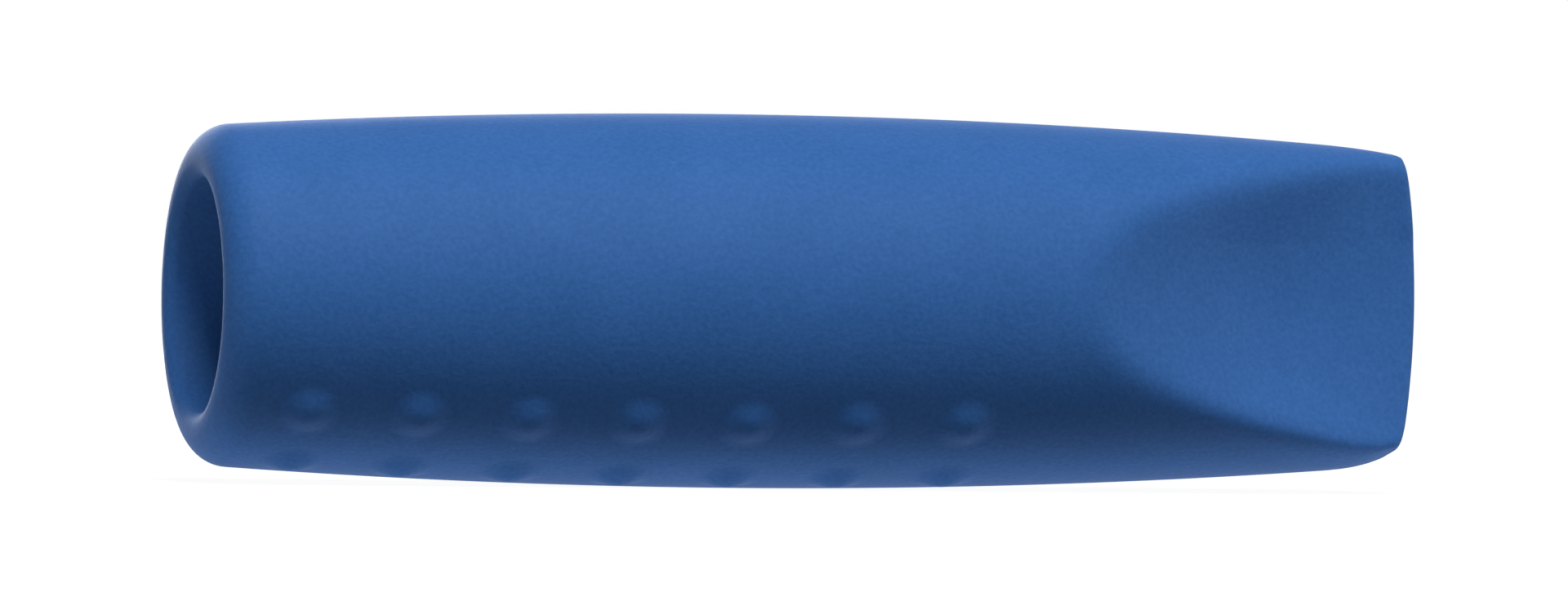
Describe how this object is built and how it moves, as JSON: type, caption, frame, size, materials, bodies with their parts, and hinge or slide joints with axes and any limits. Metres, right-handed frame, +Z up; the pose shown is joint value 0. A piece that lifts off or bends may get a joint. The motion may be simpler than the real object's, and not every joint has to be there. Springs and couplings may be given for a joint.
{
  "type": "pencil eraser cap",
  "caption": "Soft round eraser cap that pushes over a pencil's end, with a rolled lip, a blind socket, a hollow-scooped chisel blade and raised grip dots.",
  "frame": {"origin": "on the cap's axis, where the straight wall of the pencil socket begins behind the rolled lip", "axes": "+X along the axis from the mouth to the blade's end, +Z up in the plane of the upright blade, with the grip dots below"},
  "size_m": [0.044, 0.013, 0.013],
  "materials": {
    "eraser_rubber": "matte, fine grained"
  },
  "bodies": {
    "root": {"eraser_body": "eraser_rubber", "grip_dots_front_outer": "eraser_rubber", "grip_dots_front_inner": "eraser_rubber", "grip_dots_back_inner": "eraser_rubber", "grip_dots_back_outer": "eraser_rubber"}
  },
  "joints": []
}
